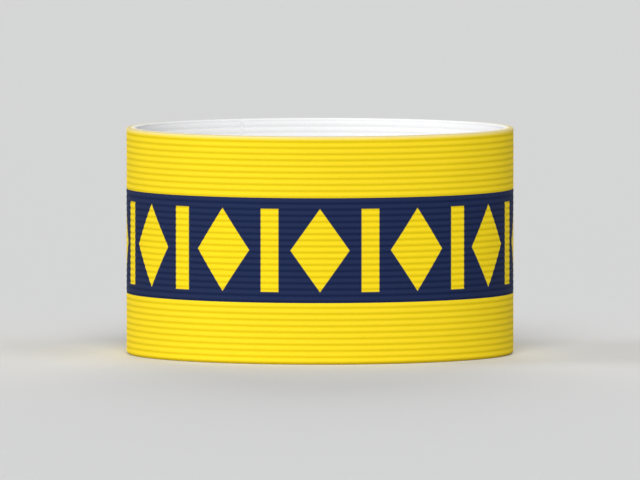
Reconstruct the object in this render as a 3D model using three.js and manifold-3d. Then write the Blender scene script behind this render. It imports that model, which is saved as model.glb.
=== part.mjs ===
// Captain's armband
//
// A tube of ribbed elastic that stands on its lower rim: a plain white lining, and on its outside
// three coloured zones one above the other, yellow, navy and yellow. The strip's two ends meet in a
// flat seam at the back. Millimetres, +Z up, the front faces -Y, and the origin is the middle of
// the lower rim.

import * as THREE from 'three';
import * as BufferGeometryUtils from 'three/addons/utils/BufferGeometryUtils.js';
import Module from 'manifold-3d';

const wasm = await Module();
wasm.setup();

// Driving dimensions of the tube
const BAND_HEIGHT = 50;         // width of the elastic
const OUTER_DIAMETER = 85.5;    // over the crests of the ribs, relaxed
const LINING_WALL = 1.0;
const ZONE_WALL = 1.0;          // from the zone's back to the crests of its ribs
const PLY_CLEARANCE = 0.1;      // between the lining and the zones outside it

// Driving dimensions of the coloured zones
const EDGE_ZONE_HEIGHT = 13.5;  // each yellow zone, measured from its rim
const ZONE_CLEARANCE = 0.1;     // between one zone and the next

// Driving dimensions of the ribs and rims
const RIB_PITCH = 1.3455;
const RIB_CREST = 0.6;          // height of each crest, between its two slopes
const RIB_DEPTH = 0.2;
const FIRST_GROOVE = 1.27;      // from the upper rim down to the middle of the first groove
const UPPER_RIM_RADIUS = 0.25;  // rounding of the outer edge of the upper rim
const LOWER_RIM_RADIUS = 0.9;
const LINING_EDGE = 0.25;       // bevel of the lining's inner edges

// Driving dimensions of the seam
const SEAM_ANGLE = 115.4;       // degrees from +X towards +Y, so left of the middle of the back
const SEAM_WIDTH = 1.2;
const SEAM_DEPTH = 0.25;

// Fineness of the facets
const SIDES = 40;
const RIM_STEPS = 4;
const LEAST_STEP = 0.05;        // between two heights of one outline

// Sizes that follow from those above
const CREST_RADIUS = OUTER_DIAMETER / 2;
const ZONE_BACK_RADIUS = CREST_RADIUS - ZONE_WALL;
const LINING_OUTER_RADIUS = ZONE_BACK_RADIUS - PLY_CLEARANCE;
const LINING_INNER_RADIUS = LINING_OUTER_RADIUS - LINING_WALL;
const RIB_SLOPE = (RIB_PITCH - RIB_CREST) / 2;

const YELLOW = new THREE.MeshStandardMaterial({ color: 0xf9dc22, roughness: 0.8, metalness: 0 });
const NAVY = new THREE.MeshStandardMaterial({ color: 0x243458, roughness: 0.8, metalness: 0 });
const WHITE = new THREE.MeshStandardMaterial({ color: 0xf4f4f2, roughness: 0.85, metalness: 0 });

// The zones from the lower rim up, each with the heights between which it lies
const ZONES = [
  { name: 'lower_band', material: YELLOW, from: 0, to: EDGE_ZONE_HEIGHT },
  { name: 'centre_stripe', material: NAVY, from: EDGE_ZONE_HEIGHT, to: BAND_HEIGHT - EDGE_ZONE_HEIGHT },
  { name: 'upper_band', material: YELLOW, from: BAND_HEIGHT - EDGE_ZONE_HEIGHT, to: BAND_HEIGHT },
];

// Radius of the ribs at a height: a straight slope on either side of each groove, then the crest
function ribRadius(z) {
  const pitches = (BAND_HEIGHT - FIRST_GROOVE - z) / RIB_PITCH;
  const fromGroove = RIB_PITCH * Math.abs(pitches - Math.round(pitches));
  return CREST_RADIUS - RIB_DEPTH * Math.max(0, 1 - fromGroove / RIB_SLOPE);
}

// How far a rounded edge draws in at a distance from its rim
function rimInset(distance, radius) {
  if (distance >= radius) return 0;
  const rise = radius - distance;
  return radius - Math.sqrt(radius * radius - rise * rise);
}

// Radius of the outer face at a height, with the ribs drawn in at both rims
function faceRadius(z) {
  const rims = rimInset(BAND_HEIGHT - z, UPPER_RIM_RADIUS) + rimInset(z, LOWER_RIM_RADIUS);
  return Math.min(ribRadius(z), CREST_RADIUS - rims);
}

// Heights between which the outer face runs straight, from one end of a zone to the other: each
// groove with the feet of its two slopes, and the steps of both rims
function faceHeights(low, high) {
  const turns = [];
  for (let groove = BAND_HEIGHT - FIRST_GROOVE; groove > -RIB_PITCH; groove -= RIB_PITCH) {
    turns.push(groove - RIB_SLOPE, groove, groove + RIB_SLOPE);
  }
  for (let step = 1; step <= RIM_STEPS; step++) {
    const share = 1 - Math.cos((step / RIM_STEPS) * Math.PI / 2);
    turns.push(BAND_HEIGHT - UPPER_RIM_RADIUS * share, LOWER_RIM_RADIUS * share);
  }
  const heights = [low];
  for (const z of turns.sort((a, b) => a - b)) {
    if (z > heights.at(-1) + LEAST_STEP && z < high - LEAST_STEP) heights.push(z);
  }
  return [...heights, high];
}

// A ring about Z from its closed outline, a list of [radius, height] that runs up the outer face
function ringGeometry(outline) {
  const points = [...outline, outline[0]].map(([radius, z]) => new THREE.Vector2(radius, z));
  const ring = new THREE.LatheGeometry(points, SIDES);
  ring.rotateX(Math.PI / 2);
  return ring;
}

// A merged closed mesh as a solid
function solidOf(geometry) {
  geometry.deleteAttribute('normal');
  geometry.deleteAttribute('uv');
  const merged = BufferGeometryUtils.mergeVertices(geometry, 1e-4);
  const vertProperties = new Float32Array(merged.attributes.position.array);
  const triVerts = new Uint32Array(merged.index.array);
  return new wasm.Manifold(new wasm.Mesh({ numProp: 3, vertProperties, triVerts }));
}

function geometryOf(solid) {
  const { vertProperties, triVerts } = solid.getMesh();
  const geometry = new THREE.BufferGeometry();
  geometry.setAttribute('position', new THREE.BufferAttribute(new Float32Array(vertProperties), 3));
  geometry.setIndex(new THREE.BufferAttribute(new Uint32Array(triVerts), 1));
  geometry.computeVertexNormals();
  return geometry;
}

// The bar that cuts the seam's groove between two radii, past both rims
function seamCutter(innerRadius, outerRadius) {
  const bar = new THREE.BoxGeometry(outerRadius - innerRadius, SEAM_WIDTH, 2 * BAND_HEIGHT);
  bar.translate((innerRadius + outerRadius) / 2, 0, BAND_HEIGHT / 2);
  bar.rotateZ(THREE.MathUtils.degToRad(SEAM_ANGLE));
  return bar;
}

// The white ply inside, with its groove on the inner face
function lining() {
  const ring = ringGeometry([
    [LINING_INNER_RADIUS + LINING_EDGE, 0],
    [LINING_OUTER_RADIUS, 0],
    [LINING_OUTER_RADIUS, BAND_HEIGHT],
    [LINING_INNER_RADIUS + LINING_EDGE, BAND_HEIGHT],
    [LINING_INNER_RADIUS, BAND_HEIGHT - LINING_EDGE],
    [LINING_INNER_RADIUS, LINING_EDGE],
  ]);
  const groove = seamCutter(LINING_INNER_RADIUS / 2, LINING_INNER_RADIUS + SEAM_DEPTH);
  return geometryOf(solidOf(ring).subtract(solidOf(groove)));
}

// One coloured zone, ribbed outside and plain behind, with its groove below the ribs
function zone(from, to) {
  const low = from === 0 ? 0 : from + ZONE_CLEARANCE / 2;
  const high = to === BAND_HEIGHT ? BAND_HEIGHT : to - ZONE_CLEARANCE / 2;
  const face = faceHeights(low, high).map((z) => [faceRadius(z), z]);
  const ring = ringGeometry([[ZONE_BACK_RADIUS, low], ...face, [ZONE_BACK_RADIUS, high]]);
  const groove = seamCutter(CREST_RADIUS - RIB_DEPTH - SEAM_DEPTH, 2 * CREST_RADIUS);
  return geometryOf(solidOf(ring).subtract(solidOf(groove)));
}

function namedMesh(name, geometry, material) {
  const mesh = new THREE.Mesh(geometry, material);
  mesh.name = name;
  return mesh;
}

const armband = new THREE.Group();
armband.name = 'captain_armband';
armband.add(namedMesh('lining', lining(), WHITE));
for (const { name, material, from, to } of ZONES) {
  armband.add(namedMesh(name, zone(from, to), material));
}

export default armband;
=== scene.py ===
"""A captain's armband: ribbed elastic closed into a tube, which stands on its lower rim.

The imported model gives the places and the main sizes. One Geometry Nodes tree makes each ring of
cloth and another the zigzag that sews the strip's ends together. Shader node groups make the knit,
the pale upper rim and the printed ornament. Lengths are in metres, as in the frame.
"""

import math

import bpy
from bpy.props import FloatProperty, FloatVectorProperty, IntProperty, PointerProperty
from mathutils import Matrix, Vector


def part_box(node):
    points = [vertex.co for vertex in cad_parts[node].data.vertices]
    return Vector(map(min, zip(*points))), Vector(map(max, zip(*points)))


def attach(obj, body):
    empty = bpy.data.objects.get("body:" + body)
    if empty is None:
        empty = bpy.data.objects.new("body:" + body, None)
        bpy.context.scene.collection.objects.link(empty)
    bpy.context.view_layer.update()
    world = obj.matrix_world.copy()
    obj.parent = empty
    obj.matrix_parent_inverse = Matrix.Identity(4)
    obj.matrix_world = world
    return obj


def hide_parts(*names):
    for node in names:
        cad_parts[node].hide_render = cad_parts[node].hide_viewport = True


bl_info = {
    "name": "Captain's Armband",
    "version": (1, 0, 0),
    "blender": (4, 5, 0),
    "location": "View3D > Sidebar > Armband",
    "description": "Dresses a captain's armband in ribbed elastic, with its seam and its studio",
    "category": "Object",
}

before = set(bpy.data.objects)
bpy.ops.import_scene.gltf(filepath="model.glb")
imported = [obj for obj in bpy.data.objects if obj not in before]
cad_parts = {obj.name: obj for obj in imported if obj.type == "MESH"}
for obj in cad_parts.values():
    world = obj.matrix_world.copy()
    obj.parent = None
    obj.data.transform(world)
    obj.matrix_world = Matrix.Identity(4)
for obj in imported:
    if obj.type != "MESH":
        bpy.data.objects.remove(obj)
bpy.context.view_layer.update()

MM = 0.001
TURN = 2 * math.pi

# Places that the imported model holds
LOWER_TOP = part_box("lower_band")[1].z
STRIPE_LOW, STRIPE_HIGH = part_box("centre_stripe")
UPPER_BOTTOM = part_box("upper_band")[0].z
BAND_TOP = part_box("lining")[1].z
CREST_RADIUS = STRIPE_HIGH.x
LOWER_EDGE = (LOWER_TOP + STRIPE_LOW.z) / 2
UPPER_EDGE = (UPPER_BOTTOM + STRIPE_HIGH.z) / 2
MIDDLE = BAND_TOP / 2

# Fineness of the meshes
ROUNDING_ROWS = 8                   # rows of faces on each rounded edge
PLAIN_ROWS = 4                      # rows of faces on a side without ribs
SEAM_CROWDING = 0.8                 # how much closer the columns are at the seam, from 0 to 1
MERGE_DISTANCE = 0.002 * MM
SHARP_CORNER = math.radians(40)     # an edge that bends by more than this isn't smoothed

# Look of the cloth and the sewing thread. Painted shade, painted sheen and contrast are shares of full
# brightness
GROOVE_POWER = 1.9                  # makes the grooves narrower than the crests
COLOURED_PAINTED_SHADES = (0.235, 0.12)     # painted shade: how much darker the grooves are painted, and the seam's dip
WHITE_PAINTED_SHADES = (0.05, 0.05)
YELLOW_CREST_SHEEN = 0.014                 # painted sheen: how much white is mixed into the crests' colour
NAVY_CREST_SHEEN = 0.008
FLECK_CONTRAST = 0.12               # from the darkest fleck to the palest
THREAD_PAINTED_SHADE = 0.25                 # painted shade: how much darker the thread is painted between its plies
INNER_THREAD_PAINTED_SHADE = 0.05
OUTER_RIM_REACH = 1.05 * MM         # how far down the outer face the rim's undyed yarn shows
INNER_RIM_REACH = 0.35 * MM         # how far down the inner face the rim's dye shows
STITCH_SINK = 0.75                  # how deep the outer stitches lie, as a share of the seam's dip

# Each light's side, its degrees to the right of the front and its degrees above the horizon
LIGHTS = (("left", -85, 17), ("front", -2, 35), ("right", 58, 50), ("back", 180, 17))
LIGHT_BREADTH = math.radians(32)
SKY_COLOUR = (0.95, 0.97, 1.0, 1.0)
FLOOR_HALF = 12.0                   # from its middle to each side
FLOOR_COLOUR = (0.72, 0.72, 0.72, 1.0)
SENSOR_WIDTH = 36.0                 # in mm, as the focal length is
FARTHEST_SEEN = 100.0

# Socket types of a node group's inputs, by the type of their defaults
SOCKETS = {float: "NodeSocketFloat", int: "NodeSocketInt", str: "NodeSocketMaterial"}

# Places of the sockets of a Mix node that mixes colours
MIX_FACTOR, MIX_BELOW, MIX_ABOVE, MIX_RESULT = 0, 6, 7, 2

# Inputs of the tree that makes a ring, with the values that make it plain
PLAIN_RING = {
    "Columns": 300, "Outer Rows": 100, "Inner Rows": PLAIN_ROWS, "Low": 0.0, "High": 0.05,
    "Outer Radius": 0.04, "Inner Radius": 0.039, "Groove Height": 0.0, "Rib Pitch": 0.001,
    "Outer Ribs": 0.0, "Inner Ribs": 0.0, "Upper Rim": 0.0, "Lower Rim": 0.0,
    "Inner Edge": 0.0, "Upper Rows": 0, "Lower Rows": 0, "Edge Rows": 0,
    "Outer Fall": 0.0, "Inner Fall": 0.0,
    "Seam Angle": 0.0, "Seam Width": 0.001, "Outer Seam": 0.0, "Inner Seam": 0.0,
}


def length(name, description, default):
    """A property for a length in metres."""
    return FloatProperty(name=name, description=description, default=default, precision=6,
                         subtype="DISTANCE", unit="LENGTH")


def colour(name, description, default):
    """A property for a linear colour."""
    return FloatVectorProperty(name=name, description=description, default=default, size=3,
                               subtype="COLOR", min=0.0, max=1.0)


class ArmbandCloth(bpy.types.PropertyGroup):
    """Sizes of the elastic."""

    lining_wall: length("Lining wall", "Thickness of the white inside", 1.05 * MM)
    zone_wall: length("Zone wall", "Thickness of the coloured outside, over the ribs", 1.05 * MM)
    rib_pitch: length("Rib pitch", "From one groove to the next", 1.3455 * MM)
    rib_depth: length("Rib depth", "Depth of the outside grooves", 0.07 * MM)
    inner_rib_depth: length("Inner rib depth", "Depth of the inside grooves", 0.05 * MM)
    first_groove: length("First groove", "From the upper rim to the first groove", 1.27 * MM)
    inner_first_groove: length("Inner first groove", "The same on the inside", 0.52 * MM)
    upper_rim: length("Upper rim", "Rounding of the upper outer edge", 0.25 * MM)
    lower_rim: length("Lower rim", "Rounding of the lower outer edge", 0.9 * MM)
    inner_edge: length("Inner edge", "Rounding of the lining's edges", 0.5 * MM)
    rim_fall: length("Rim fall", "How far the upper rim slopes down outwards", 0.09 * MM)
    dye_width: length("Dye width", "How far in from the outer face the rim's dye reaches", 1.8 * MM)
    columns: IntProperty(name="Columns", description="Faces round each ring", default=300, min=24)
    rib_rows: IntProperty(name="Rib rows", description="Rows of faces on a rib outside", default=8)
    inner_rib_rows: IntProperty(name="Inner rib rows", description="Rows on a rib inside",
                                default=6)


class ArmbandSeam(bpy.types.PropertyGroup):
    """Sizes of the seam where the strip's ends meet."""

    angle: FloatProperty(name="Angle", description="From +X towards +Y", subtype="ANGLE",
                         unit="ROTATION", default=math.radians(115.4))
    width: length("Width", "Width of the dip that the seam pulls in", 2.0 * MM)
    depth: length("Depth", "Depth of that dip outside", 0.16 * MM)
    inner_depth: length("Inner depth", "Depth of that dip inside", 0.12 * MM)
    stitch_span: length("Stitch span", "Width of the zigzag outside", 1.7 * MM)
    inner_span: length("Inner span", "Width of the zigzag inside", 0.9 * MM)
    stitch_step: length("Stitch step", "Height that one stitch climbs", 1.15 * MM)
    thread: length("Thread", "Diameter of the sewing thread outside", 0.22 * MM)
    inner_thread: length("Inner thread", "Diameter of the sewing thread inside", 0.12 * MM)


class ArmbandOrnament(bpy.types.PropertyGroup):
    """Sizes of the printed row of lozenges and bars."""

    repeats: IntProperty(name="Repeats", description="Lozenges round the band", default=12, min=1)
    height: length("Height", "Height of the lozenges and bars", 18.2 * MM)
    lozenge_width: length("Lozenge width", "From point to point", 13.0 * MM)
    bar_width: length("Bar width", "Width of each bar", 4.0 * MM)


class ArmbandColours(bpy.types.PropertyGroup):
    """Colours of the yarns and the print."""

    yellow: colour("Yellow", "The two edge zones and the ornament", (0.98, 0.73, 0.007))
    navy: colour("Navy", "The centre stripe", (0.009, 0.020, 0.078))
    white: colour("White", "The lining", (0.94, 0.94, 0.945))


class ArmbandStudio(bpy.types.PropertyGroup):
    """The camera and the lights."""

    elevation: FloatProperty(name="Elevation", description="Camera above the horizon",
                             subtype="ANGLE", unit="ROTATION", default=math.radians(3.15))
    distance: length("Distance", "From the camera to the armband's middle", 4.28)
    focal_mm: FloatProperty(name="Focal length", description="On a 36 mm sensor, in mm",
                            default=1090.0)
    sky: FloatProperty(name="Sky", description="Brightness of the pale surroundings", default=0.12)
    left: FloatProperty(name="Left", description="Strength of the left light", default=1.32)
    front: FloatProperty(name="Front", description="Strength of the front light", default=2.26)
    right: FloatProperty(name="Right", description="Strength of the right light", default=0.49)
    back: FloatProperty(name="Back", description="Strength of the light behind", default=1.13)


class ArmbandSettings(bpy.types.PropertyGroup):
    """Everything that a user would change."""

    cloth: PointerProperty(type=ArmbandCloth)
    seam: PointerProperty(type=ArmbandSeam)
    ornament: PointerProperty(type=ArmbandOrnament)
    colours: PointerProperty(type=ArmbandColours)
    studio: PointerProperty(type=ArmbandStudio)


class Field:
    """A number in a node tree. Arithmetic on it adds Math nodes to that tree."""

    def __init__(self, tree, socket):
        self.tree = tree
        self.socket = socket

    def math(self, operation, *others):
        node = self.tree.nodes.new("ShaderNodeMath")
        node.operation = operation
        for socket, value in zip(node.inputs, (self, *others)):
            plug(self.tree, value, socket)
        return Field(self.tree, node.outputs[0])

    def __add__(self, other):
        return self.math("ADD", other)

    def __sub__(self, other):
        return self.math("SUBTRACT", other)

    def __rsub__(self, other):
        return (self * -1.0).math("ADD", other)

    def __mul__(self, other):
        return self.math("MULTIPLY", other)

    def __truediv__(self, other):
        return self.math("DIVIDE", other)

    def __pow__(self, other):
        return self.math("POWER", other)

    def __abs__(self):
        return self.math("ABSOLUTE")

    def below(self, other):
        return self.math("LESS_THAN", other)

    def larger(self, other):
        return self.math("MAXIMUM", other)

    def smaller(self, other):
        return self.math("MINIMUM", other)

    def clamped(self):
        return self.larger(0.0).smaller(1.0)

    def cosine(self):
        return self.math("COSINE")

    def sine(self):
        return self.math("SINE")

    def off_whole(self):
        """Distance to the nearest whole number, with its sign."""
        return self - self.math("ROUND")


def plug(tree, value, socket):
    """Links a Field or a socket to a node's input, or sets the input to a plain value."""
    if isinstance(value, Field):
        tree.links.new(value.socket, socket)
    elif isinstance(value, bpy.types.NodeSocket):
        tree.links.new(value, socket)
    else:
        socket.default_value = value


def add_node(tree, kind, settings=None, **inputs):
    """A new node with its settings, and its inputs plugged by name (underscores for spaces)."""
    node = tree.nodes.new(kind)
    for name, value in (settings or {}).items():
        setattr(node, name, value)
    for name, value in inputs.items():
        plug(tree, value, node.inputs[name.replace("_", " ")])
    return node


def axes_of(tree, place):
    """The X, Y and Z of a position."""
    split = add_node(tree, "ShaderNodeSeparateXYZ", Vector=place)
    return [Field(tree, socket) for socket in split.outputs]


def new_group(name, kind, inputs, outputs):
    """A node group with named inputs and outputs: (tree, Fields of the inputs, output node)."""
    tree = bpy.data.node_groups.new(name, kind)
    for label, value in inputs.items():
        socket = tree.interface.new_socket(label, in_out="INPUT", socket_type=SOCKETS[type(value)])
        if not isinstance(value, str):
            socket.default_value = value
    for label, socket_type in outputs.items():
        tree.interface.new_socket(label, in_out="OUTPUT", socket_type=socket_type)
    source = tree.nodes.new("NodeGroupInput")
    given = {label: Field(tree, source.outputs[label]) for label in inputs}
    return tree, given, tree.nodes.new("NodeGroupOutput")


def shared_group(name, maker):
    """The node group of that name, made the first time that it is needed."""
    return bpy.data.node_groups.get(name) or maker()


def grooves(height, first, pitch):
    """1 in the middle of each groove and 0 along the crests, which are the broader."""
    wave = (((first - height) / pitch) * TURN).cosine() * 0.5 + 0.5
    return wave ** GROOVE_POWER


def seam_dip(from_seam, width):
    """1 along the seam, and 0 from half the dip's width on either side of it."""
    across = (from_seam * 2.0 / width).clamped() * math.pi
    return across.cosine() * 0.5 + 0.5


def face_outline(row, rows, low_rows, high_rows, low_radius, high_radius, low, high):
    """Height of a face at a row counted from its lower end, and how far its rounded ends draw in."""
    low_turn = (row / low_rows).clamped() * (TURN / 4)
    high_turn = ((row - rows + high_rows) / high_rows).clamped() * (TURN / 4)
    along = ((row - low_rows) / (rows - low_rows - high_rows)).clamped()
    straight = high - low - low_radius - high_radius
    height = low + low_radius * (1.0 - low_turn.cosine()) + straight * along
    height = height + high_radius * high_turn.sine()
    draw_in = low_radius * (1.0 - low_turn.sine()) + high_radius * (1.0 - high_turn.cosine())
    return height, draw_in


def ring_tree():
    """A closed ring of cloth about Z. A grid's columns go round it, closer together at the seam, and
    its rows go up the outer face and down the inner one."""
    tree, given, output = new_group("Ring of elastic", "GeometryNodeTree",
                                    {**PLAIN_RING, "Material": "material"},
                                    {"Ring": "NodeSocketGeometry"})
    all_rows = given["Outer Rows"] + given["Inner Rows"] + 2.0
    grid = add_node(tree, "GeometryNodeMeshGrid", Size_X=1.0, Size_Y=1.0,
                    Vertices_X=given["Columns"] + 1.0, Vertices_Y=all_rows + 1.0)
    across, along, _ = axes_of(tree, add_node(tree, "GeometryNodeInputPosition").outputs[0])
    share = across + 0.5
    row = ((along + 0.5) * all_rows).math("ROUND")

    # Angle from the seam, with the columns drawn together there
    turned = share * TURN - (share * TURN).sine() * SEAM_CROWDING
    angle = turned + given["Seam Angle"]
    from_seam = math.pi - abs(turned - math.pi)
    seam = seam_dip(from_seam * given["Outer Radius"], given["Seam Width"])

    # Rows of the outer face, whose first row is also the last of all, and of the inner face
    outer_row = row * row.below(given["Outer Rows"] + 0.5)
    on_inner = (given["Outer Rows"] + 0.5).below(row) * row.below(all_rows - 0.5)
    inner_row = all_rows - 1.0 - row
    outer_height, outer_in = face_outline(
        outer_row, given["Outer Rows"], given["Lower Rows"], given["Upper Rows"],
        given["Lower Rim"], given["Upper Rim"], given["Low"], given["High"] - given["Outer Fall"])
    inner_height, inner_in = face_outline(
        inner_row, given["Inner Rows"], given["Edge Rows"], given["Edge Rows"],
        given["Inner Edge"], given["Inner Edge"], given["Low"], given["High"] - given["Inner Fall"])

    outer_rib = grooves(outer_height, given["Groove Height"], given["Rib Pitch"])
    outer_rib = outer_rib * given["Outer Ribs"] * (1.0 - seam)
    inner_rib = grooves(inner_height, given["Groove Height"], given["Rib Pitch"])
    inner_rib = inner_rib * given["Inner Ribs"] * (1.0 - seam)
    outer_radius = given["Outer Radius"] - outer_in.larger(outer_rib) - seam * given["Outer Seam"]
    inner_radius = given["Inner Radius"] + inner_in.larger(inner_rib) + seam * given["Inner Seam"]
    radius = outer_radius + (inner_radius - outer_radius) * on_inner
    height = outer_height + (inner_height - outer_height) * on_inner

    bent = add_node(tree, "ShaderNodeCombineXYZ", X=radius * angle.cosine(),
                    Y=radius * angle.sine(), Z=height)
    shaped = add_node(tree, "GeometryNodeSetPosition", Geometry=grid.outputs["Mesh"],
                      Position=bent.outputs[0])
    closed = add_node(tree, "GeometryNodeMergeByDistance", Geometry=shaped.outputs[0],
                      Distance=MERGE_DISTANCE)
    finish_tree(tree, closed.outputs[0], given["Material"], output)
    return tree


def finish_tree(tree, geometry, material, output):
    """Smooth faces, sharp corners, instances made real and the material set, at a tree's end."""
    corner = add_node(tree, "GeometryNodeInputMeshEdgeAngle").outputs["Unsigned Angle"]
    smooth = add_node(tree, "GeometryNodeSetShadeSmooth", {"domain": "FACE"}, Geometry=geometry)
    edged = add_node(tree, "GeometryNodeSetShadeSmooth", {"domain": "EDGE"},
                     Geometry=smooth.outputs[0], Shade_Smooth=Field(tree, corner).below(SHARP_CORNER))
    real = add_node(tree, "GeometryNodeRealizeInstances", Geometry=edged.outputs[0])
    dressed = add_node(tree, "GeometryNodeSetMaterial", Geometry=real.outputs[0], Material=material)
    tree.links.new(dressed.outputs[0], output.inputs[0])


def zigzag_tree():
    """A column of stitches up the seam, each a spindle of thread that slants the other way from the
    one below it."""
    tree, given, output = new_group(
        "Zigzag seam", "GeometryNodeTree",
        {"Low": 0.0, "High": 0.05, "Radius": 0.04, "Seam Angle": 0.0, "Span": 0.002,
         "Step": 0.001, "Thread": 0.0003, "Material": "material"},
        {"Stitches": "NodeSocketGeometry"})
    rise = given["High"] - given["Low"]
    count = (rise / given["Step"]).math("FLOOR")
    step = rise / count
    start = add_node(tree, "ShaderNodeCombineXYZ", X=given["Radius"], Z=given["Low"] + step * 0.5)
    offset = add_node(tree, "ShaderNodeCombineXYZ", Z=step)
    column = add_node(tree, "GeometryNodeMeshLine", Count=count, Start_Location=start.outputs[0],
                      Offset=offset.outputs[0])
    index = Field(tree, add_node(tree, "GeometryNodeInputIndex").outputs[0])
    side = index.math("MODULO", 2.0) * 2.0 - 1.0
    slant = add_node(tree, "ShaderNodeCombineXYZ", X=step.math("ARCTAN2", given["Span"]) * side)
    spindle = add_node(tree, "GeometryNodeMeshUVSphere", Segments=8, Rings=8, Radius=0.5)
    long_way = (step * step + given["Span"] * given["Span"]).math("SQRT") + given["Thread"]
    scale = add_node(tree, "ShaderNodeCombineXYZ", X=given["Thread"], Y=long_way,
                     Z=given["Thread"])
    sewn = add_node(tree, "GeometryNodeInstanceOnPoints", Points=column.outputs[0],
                    Instance=spindle.outputs["Mesh"], Scale=scale.outputs[0],
                    Rotation=slant.outputs[0])
    real = add_node(tree, "GeometryNodeRealizeInstances", Geometry=sewn.outputs[0])
    turn = add_node(tree, "ShaderNodeCombineXYZ", Z=given["Seam Angle"])
    placed = add_node(tree, "GeometryNodeTransform", Geometry=real.outputs[0],
                      Rotation=turn.outputs[0])
    finish_tree(tree, placed.outputs[0], given["Material"], output)
    return tree


def linked_object(name, data):
    """A new object with this data, in the scene."""
    thing = bpy.data.objects.new(name, data)
    bpy.context.scene.collection.objects.link(thing)
    return thing


def grown(name, tree, sizes):
    """The plain mesh that a Geometry Nodes tree makes from these sizes."""
    seed = linked_object(name + "_seed", bpy.data.meshes.new(name + "_seed"))
    modifier = seed.modifiers.new("Maker", "NODES")
    modifier.node_group = tree
    for item in tree.interface.items_tree:
        if item.in_out == "INPUT":
            modifier[item.identifier] = sizes[item.name]
    graph = bpy.context.evaluated_depsgraph_get()
    mesh = bpy.data.meshes.new_from_object(seed.evaluated_get(graph), depsgraph=graph,
                                           preserve_all_data_layers=True)
    if not mesh.polygons:
        raise RuntimeError(f"{name}: the tree made no faces")
    mesh.name = name
    piece = linked_object(name, mesh)
    bpy.data.objects.remove(seed)
    return piece


def ring(name, settings, material, sizes):
    """One ring of cloth. sizes holds the inputs of its tree that neither the settings nor a plain
    ring give."""
    cloth, seam = settings.cloth, settings.seam
    edges = (("Upper Rim", "Upper Rows"), ("Lower Rim", "Lower Rows"), ("Inner Edge", "Edge Rows"))
    edge_rows = {rows: ROUNDING_ROWS if sizes.get(edge) else 0 for edge, rows in edges}
    return grown(name, shared_group("Ring of elastic", ring_tree), {
        **PLAIN_RING, "Columns": cloth.columns, "Rib Pitch": cloth.rib_pitch,
        "Seam Angle": seam.angle, "Seam Width": seam.width, **edge_rows, **sizes,
        "Material": material,
    })


def knit_group():
    """The knit of ribbed elastic: where its grooves and its seam run, the relief of its loops and its
    flecks."""
    tree, given, output = new_group(
        "Rib knit", "ShaderNodeTree",
        {"Groove Height": 0.0, "Rib Pitch": 0.001, "Loops Round": 540.0, "Radius": 0.04,
         "Seam Angle": 0.0, "Seam Width": 0.002},
        {"Groove": "NodeSocketFloat", "Seam": "NodeSocketFloat", "Relief": "NodeSocketFloat",
         "Fleck": "NodeSocketFloat"})
    loop_relief, fuzz_relief, groove_relief = 0.75, 0.4, 0.6
    place = add_node(tree, "ShaderNodeTexCoord").outputs["Object"]
    across, along, height = axes_of(tree, place)
    angle = along.math("ARCTAN2", across)
    lean = abs(((given["Groove Height"] - height) / given["Rib Pitch"]).off_whole())
    groove = grooves(height, given["Groove Height"], given["Rib Pitch"])
    loops = abs(((angle / TURN * given["Loops Round"] + lean) * math.pi).sine())
    from_seam = abs(angle - given["Seam Angle"]) * given["Radius"]
    seam = seam_dip(from_seam, given["Seam Width"])
    fuzz_and_sheen = Field(tree, add_node(tree, "ShaderNodeTexNoise", Vector=place, Scale=2600.0, Detail=3.0,
                                Roughness=0.6).outputs[0])
    patches = Field(tree, add_node(tree, "ShaderNodeTexNoise", Vector=place, Scale=90.0,
                                   Detail=4.0, Roughness=0.55).outputs[0])
    relief = loops * (1.0 - groove) * loop_relief + fuzz_and_sheen * fuzz_relief - groove * groove_relief
    fleck = fuzz_and_sheen * 0.5 + patches * 0.5
    for label, value in (("Groove", groove), ("Seam", seam), ("Relief", relief), ("Fleck", fleck)):
        plug(tree, value, output.inputs[label])
    return tree


def rim_group():
    """How near a point is to the upper rim, 1 there and 0 past the reach, and how pale the cloth is
    there. The dye thins out across the rim's top from its outer edge to its inner one, and the yarn
    on the outer face below it is paler than that edge."""
    tree, given, output = new_group(
        "Upper rim", "ShaderNodeTree",
        {"Top": 0.05, "Reach": 0.001, "Fall": 1.9, "Outer Radius": 0.04, "Dye Width": 0.002,
         "Face Paleness": 0.60, "Top Paleness": 0.26},
        {"Nearness": "NodeSocketFloat", "Paleness": "NodeSocketFloat"})
    face_share = 0.16       # part of the dye's width over which the top's paleness takes over
    place = add_node(tree, "ShaderNodeTexCoord").outputs["Object"]
    across, along, height = axes_of(tree, place)
    distance = given["Top"] - height
    nearness = (1.0 - distance / given["Reach"]).clamped() ** given["Fall"]
    radius = (across * across + along * along).math("SQRT")
    inward = ((given["Outer Radius"] - radius) / given["Dye Width"]).clamped()
    top = given["Top Paleness"] + (1.0 - given["Top Paleness"]) * inward * inward
    on_top = (inward / face_share).clamped()
    plug(tree, nearness, output.inputs["Nearness"])
    plug(tree, given["Face Paleness"] + (top - given["Face Paleness"]) * on_top,
         output.inputs["Paleness"])
    return tree


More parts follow.
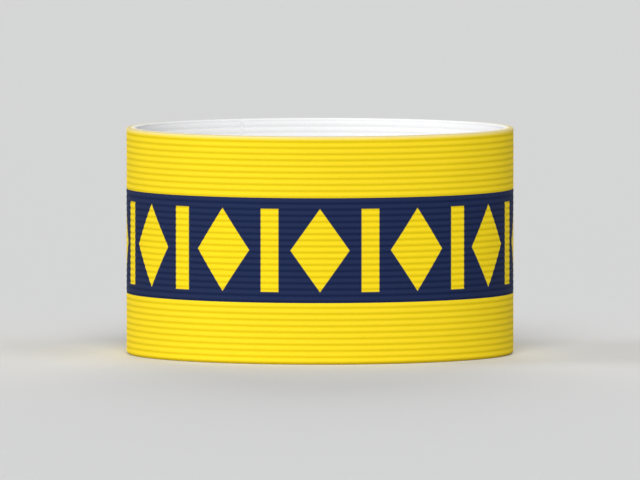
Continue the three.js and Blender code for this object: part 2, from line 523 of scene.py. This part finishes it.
def ornament_group():
    """A row of solid lozenges with an upright bar between each two, printed round the band. The one
    where the strip's ends are sewn together is left out."""
    tree, given, output = new_group(
        "Lozenges and bars", "ShaderNodeTree",
        {"Repeats": 12.0, "Radius": 0.04, "Middle": 0.025, "Height": 0.018,
         "Lozenge Width": 0.013, "Bar Width": 0.004, "Softness": 0.0002, "Seam Angle": 0.0},
        {"Print": "NodeSocketFloat"})
    whole_lozenge = 2.0     # more than the 1 at a lozenge's middle, so it takes all of it away
    place = add_node(tree, "ShaderNodeTexCoord").outputs["Object"]
    rightwards, backwards, height = axes_of(tree, place)
    angle = rightwards.math("ARCTAN2", backwards * -1.0)
    pitch = given["Radius"] * TURN / given["Repeats"]
    place_in_row = angle / TURN * given["Repeats"]
    across = abs(place_in_row.off_whole()) * pitch
    seam_place = (given["Seam Angle"] / TURN * given["Repeats"]).math("ROUND")
    sewn = abs(place_in_row - seam_place).below(0.5)
    up = abs(height - given["Middle"])
    half_height = given["Height"] / 2.0
    half_width = given["Lozenge Width"] / 2.0
    depth_in_lozenge = 1.0 - across / half_width - up / half_height - sewn * whole_lozenge
    inside_lozenge = depth_in_lozenge * half_width
    inside_bar = (given["Bar Width"] / 2.0 - (pitch / 2.0 - across)).smaller(half_height - up)
    inside = inside_lozenge.larger(inside_bar)
    plug(tree, (inside / given["Softness"] + 0.5).clamped(), output.inputs["Print"])
    return tree


def placed_group(tree, name, maker, **inputs):
    """A shared group placed in a material's tree."""
    return add_node(tree, "ShaderNodeGroup", {"node_tree": shared_group(name, maker)}, **inputs)


def mixed(tree, factor, below, above, blend="MIX"):
    """One colour laid over another by a factor."""
    node = add_node(tree, "ShaderNodeMix", {"data_type": "RGBA", "blend_type": blend})
    plug(tree, factor, node.inputs[MIX_FACTOR])
    plug(tree, below, node.inputs[MIX_BELOW])
    plug(tree, above, node.inputs[MIX_ABOVE])
    return node.outputs[MIX_RESULT]


def shaded(tree, colour_socket, share):
    """A colour multiplied by a share of itself."""
    grey = add_node(tree, "ShaderNodeCombineColor", Red=share, Green=share, Blue=share)
    return mixed(tree, 1.0, colour_socket, grey.outputs[0], blend="MULTIPLY")


def opaque(rgb):
    return (*rgb, 1.0)


def new_material(name):
    """A material, its node tree and its Principled shader."""
    material = bpy.data.materials.new(name)
    material.use_nodes = True
    return material, material.node_tree, material.node_tree.nodes["Principled BSDF"]


def elastic_material(name, settings, base, first_groove, shades, fuzz_and_sheen, over=None, rim=None):
    """Ribbed elastic of a base colour, with painted shade in its grooves and its seam by two shares,
    and a painted sheen of white on its crests. over adds the ornament in its colour, rim is (colour,
    reach, dyed): the colour that shows near the upper rim, how far down, and whether it is the dye on
    undyed cloth."""
    cloth, seam = settings.cloth, settings.seam
    groove_painted_shade, seam_painted_shade = shades
    material, tree, skin = new_material(name)
    knit = placed_group(tree, "Rib knit", knit_group, Groove_Height=BAND_TOP - first_groove,
                        Rib_Pitch=cloth.rib_pitch, Radius=CREST_RADIUS, Seam_Angle=seam.angle,
                        Seam_Width=seam.width)
    dye = opaque(base)
    if over is not None:
        ornament = settings.ornament
        seam_from_front = seam.angle + TURN / 4 - TURN
        marks = placed_group(tree, "Lozenges and bars", ornament_group,
                             Repeats=float(ornament.repeats), Radius=CREST_RADIUS, Middle=MIDDLE,
                             Height=ornament.height, Lozenge_Width=ornament.lozenge_width,
                             Bar_Width=ornament.bar_width, Seam_Angle=seam_from_front)
        dye = mixed(tree, marks.outputs["Print"], dye, opaque(over))
    if rim is not None:
        rim_colour, reach, dyed = rim
        edge = placed_group(tree, "Upper rim", rim_group, Top=BAND_TOP, Reach=reach,
                            Outer_Radius=CREST_RADIUS, Dye_Width=cloth.dye_width)
        pale = Field(tree, edge.outputs["Paleness"])
        share = 1.0 - pale if dyed else pale
        dye = mixed(tree, share * Field(tree, edge.outputs["Nearness"]), dye, opaque(rim_colour))
    groove = Field(tree, knit.outputs["Groove"])
    # painted sheen: white mixed into the crests' colour, not into the grooves
    dye = mixed(tree, (1.0 - groove) * fuzz_and_sheen, dye, opaque(settings.colours.white))
    fleck = Field(tree, knit.outputs["Fleck"])
    # painted shade in the grooves and the seam's dip; the flecks below are the yarn's own random tone
    shade = (groove * groove_painted_shade).larger(Field(tree, knit.outputs["Seam"]) * seam_painted_shade)
    light = 1.0 - shade + (fleck - 0.5) * FLECK_CONTRAST
    plug(tree, shaded(tree, dye, light), skin.inputs["Base Color"])
    roughness_spread, least_roughness = 0.2, 0.72
    plug(tree, fleck * roughness_spread + least_roughness, skin.inputs["Roughness"])
    bump = add_node(tree, "ShaderNodeBump", Strength=0.35, Distance=0.05 * MM,
                    Height=knit.outputs["Relief"])
    plug(tree, bump.outputs[0], skin.inputs["Normal"])
    skin.inputs["Specular IOR Level"].default_value = 0.07
    skin.inputs["Sheen Weight"].default_value = 0.02
    skin.inputs["Sheen Roughness"].default_value = 0.3
    return material


def thread_material(name, rgb, shade):
    """Twisted sewing thread, painted darker by a share of shade between its plies, and a little
    smoother on them.
    """
    material, tree, skin = new_material(name)
    place = add_node(tree, "ShaderNodeTexCoord").outputs["Object"]
    twist = add_node(tree, "ShaderNodeTexWave", {"bands_direction": "Z"}, Vector=place,
                     Scale=1050.0, Distortion=1.0, Detail=1.0)
    ply = Field(tree, twist.outputs["Fac"])
    # painted shade between the plies
    plug(tree, shaded(tree, opaque(rgb), ply * shade + (1.0 - shade)), skin.inputs["Base Color"])
    smoothing, most_roughness = -0.15, 0.65
    plug(tree, ply * smoothing + most_roughness, skin.inputs["Roughness"])
    bump = add_node(tree, "ShaderNodeBump", Strength=0.5, Distance=0.03 * MM, Height=ply)
    plug(tree, bump.outputs[0], skin.inputs["Normal"])
    return material


def declare(piece, slot, flat_height, radius, *nodes):
    """Rides a ring of cloth on the armband, in place of its CAD nodes."""
    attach(piece, "root")
    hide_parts(*nodes)


def zone_sizes(cloth):
    """Each coloured zone: (node, slot, low, high, upper rim, lower rim)."""
    return (
        ("lower_band", "yellow_elastic", 0.0, LOWER_EDGE, 0.0, cloth.lower_rim),
        ("centre_stripe", "navy_elastic", LOWER_EDGE, UPPER_EDGE, 0.0, 0.0),
        ("upper_band", "yellow_elastic", UPPER_EDGE, BAND_TOP, cloth.upper_rim, 0.0),
    )


class ARMBAND_OT_lining(bpy.types.Operator):
    """Make the white inside of the elastic"""

    bl_idname = "armband.lining"
    bl_label = "White lining"

    def execute(self, context):
        settings = context.scene.armband
        cloth, colours = settings.cloth, settings.colours
        outer = CREST_RADIUS - cloth.zone_wall
        inner = outer - cloth.lining_wall
        white = elastic_material("white_elastic", settings, colours.white,
                                 cloth.inner_first_groove, WHITE_PAINTED_SHADES, 0.0,
                                 rim=(colours.yellow, INNER_RIM_REACH, True))
        piece = ring("lining_cloth", settings, white, {
            "Low": 0.0, "High": BAND_TOP, "Outer Radius": outer, "Inner Radius": inner,
            "Outer Rows": PLAIN_ROWS,
            "Inner Rows": round((BAND_TOP / cloth.rib_pitch) * cloth.inner_rib_rows),
            "Groove Height": BAND_TOP - cloth.inner_first_groove,
            "Inner Ribs": cloth.inner_rib_depth, "Inner Edge": cloth.inner_edge,
            "Inner Seam": settings.seam.inner_depth, "Outer Fall": cloth.rim_fall / 2,
        })
        declare(piece, "white_elastic", BAND_TOP, (outer + inner) / 2, "lining")
        return {"FINISHED"}


class ARMBAND_OT_zones(bpy.types.Operator):
    """Make the three coloured zones of the outside"""

    bl_idname = "armband.zones"
    bl_label = "Coloured zones"

    def execute(self, context):
        settings = context.scene.armband
        cloth, colours = settings.cloth, settings.colours
        back = CREST_RADIUS - cloth.zone_wall
        yellow = elastic_material("yellow_elastic", settings, colours.yellow, cloth.first_groove,
                                  COLOURED_PAINTED_SHADES, YELLOW_CREST_SHEEN,
                                  rim=(colours.white, OUTER_RIM_REACH, False))
        navy = elastic_material("navy_elastic", settings, colours.navy, cloth.first_groove,
                                COLOURED_PAINTED_SHADES, NAVY_CREST_SHEEN, over=colours.yellow)
        for node, slot, low, high, upper_rim, lower_rim in zone_sizes(cloth):
            fall = cloth.rim_fall if upper_rim else 0.0
            piece = ring(node + "_cloth", settings, navy if slot == "navy_elastic" else yellow, {
                "Low": low, "High": high, "Outer Radius": CREST_RADIUS, "Inner Radius": back,
                "Outer Rows": round(((high - low) / cloth.rib_pitch) * cloth.rib_rows),
                "Groove Height": BAND_TOP - cloth.first_groove, "Outer Ribs": cloth.rib_depth,
                "Upper Rim": upper_rim, "Lower Rim": lower_rim,
                "Outer Seam": settings.seam.depth, "Outer Fall": fall, "Inner Fall": fall / 2,
            })
            declare(piece, slot, high - low, CREST_RADIUS - cloth.zone_wall / 2, node)
        return {"FINISHED"}


class ARMBAND_OT_seam(bpy.types.Operator):
    """Sew the strip's ends together with a zigzag outside and inside"""

    bl_idname = "armband.seam"
    bl_label = "Seam stitches"

    def execute(self, context):
        settings = context.scene.armband
        cloth, seam, colours = settings.cloth, settings.seam, settings.colours
        tree = shared_group("Zigzag seam", zigzag_tree)
        inner = CREST_RADIUS - cloth.zone_wall - cloth.lining_wall
        sides = (
            ("seam_stitches_outside", "yellow_elastic", colours.yellow, THREAD_PAINTED_SHADE,
             CREST_RADIUS - seam.depth * STITCH_SINK, seam.stitch_span, seam.thread),
            ("seam_stitches_inside", "white_elastic", colours.white, INNER_THREAD_PAINTED_SHADE,
             inner + seam.inner_depth, seam.inner_span, seam.inner_thread),
        )
        for name, slot, rgb, shade, radius, span, thread in sides:
            piece = grown(name, tree, {
                "Low": cloth.lower_rim, "High": BAND_TOP - cloth.upper_rim, "Radius": radius,
                "Seam Angle": seam.angle, "Span": span, "Step": seam.stitch_step,
                "Thread": thread, "Material": thread_material(name + "_thread", rgb, shade),
            })
            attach(piece, "root")
        return {"FINISHED"}


class ARMBAND_OT_stage(bpy.types.Operator):
    """Set the floor, the pale surroundings, the lights and the camera"""

    bl_idname = "armband.stage"
    bl_label = "Studio"

    def execute(self, context):
        studio = context.scene.armband.studio
        make_floor()
        make_surroundings(context.scene, studio.sky)
        aim = Vector((0.0, 0.0, MIDDLE))
        for side, azimuth, elevation in LIGHTS:
            make_light(side + "_light", azimuth, elevation, getattr(studio, side))
        make_camera(context.scene, studio, aim)
        return {"FINISHED"}


def make_floor():
    """A plain pale floor under the armband."""
    mesh = bpy.data.meshes.new("floor")
    square = ((-1, -1), (1, -1), (1, 1), (-1, 1))
    corners = [(x * FLOOR_HALF, y * FLOOR_HALF, 0.0) for x, y in square]
    mesh.from_pydata(corners, [], [(0, 1, 2, 3)])
    floor = linked_object("floor", mesh)
    material, _, skin = new_material("floor")
    skin.inputs["Base Color"].default_value = FLOOR_COLOUR
    skin.inputs["Roughness"].default_value = 0.95
    skin.inputs["Specular IOR Level"].default_value = 0.1
    mesh.materials.append(material)


def make_surroundings(scene, brightness):
    """Even pale light from all round, and plain colours."""
    world = bpy.data.worlds.new("studio")
    world.use_nodes = True
    background = world.node_tree.nodes["Background"]
    background.inputs["Color"].default_value = SKY_COLOUR
    background.inputs["Strength"].default_value = brightness
    scene.world = world
    scene.view_settings.view_transform = "Standard"


def make_light(name, azimuth, elevation, strength):
    """A broad soft light from far off, in degrees to the right of the front and above the horizon."""
    elevation, turn = math.radians(elevation), math.radians(azimuth)
    light = bpy.data.lights.new(name, "SUN")
    light.angle = LIGHT_BREADTH
    light.energy = strength
    lamp = linked_object(name, light)
    away = Vector((math.sin(turn) * math.cos(elevation), -math.cos(turn) * math.cos(elevation),
                   math.sin(elevation)))
    lamp.location = away
    lamp.rotation_euler = (-away).to_track_quat("-Z", "Y").to_euler()


def make_camera(scene, studio, aim):
    """A long lens in front of the armband, a little above its middle."""
    data = bpy.data.cameras.new("camera")
    data.lens = studio.focal_mm
    data.sensor_width = SENSOR_WIDTH
    data.clip_end = FARTHEST_SEEN
    camera = linked_object("camera", data)
    back = Vector((0.0, -math.cos(studio.elevation), math.sin(studio.elevation)))
    camera.location = aim + back * studio.distance
    camera.rotation_euler = (-back).to_track_quat("-Z", "Y").to_euler()
    scene.camera = camera


class ARMBAND_PT_panel(bpy.types.Panel):
    """The armband's pieces and sizes in the sidebar"""

    bl_idname = "ARMBAND_PT_panel"
    bl_label = "Armband"
    bl_space_type = "VIEW_3D"
    bl_region_type = "UI"
    bl_category = "Armband"

    def draw(self, context):
        settings = context.scene.armband
        for operator in OPERATORS:
            self.layout.operator(operator.bl_idname)
        for name in ("cloth", "seam", "ornament", "colours", "studio"):
            group = getattr(settings, name)
            box = self.layout.box()
            box.label(text=name.capitalize())
            for key in type(group).__annotations__:
                box.prop(group, key)


OPERATORS = (ARMBAND_OT_lining, ARMBAND_OT_zones, ARMBAND_OT_seam, ARMBAND_OT_stage)
CLASSES = (ArmbandCloth, ArmbandSeam, ArmbandOrnament, ArmbandColours, ArmbandStudio,
           ArmbandSettings, *OPERATORS, ARMBAND_PT_panel)


def register():
    for cls in CLASSES:
        bpy.utils.register_class(cls)
    bpy.types.Scene.armband = PointerProperty(type=ArmbandSettings)


def unregister():
    del bpy.types.Scene.armband
    for cls in reversed(CLASSES):
        bpy.utils.unregister_class(cls)


def main():
    register()
    bpy.ops.armband.stage()
    bpy.ops.armband.lining()
    bpy.ops.armband.zones()
    bpy.ops.armband.seam()


if __name__ == "__main__":
    main()
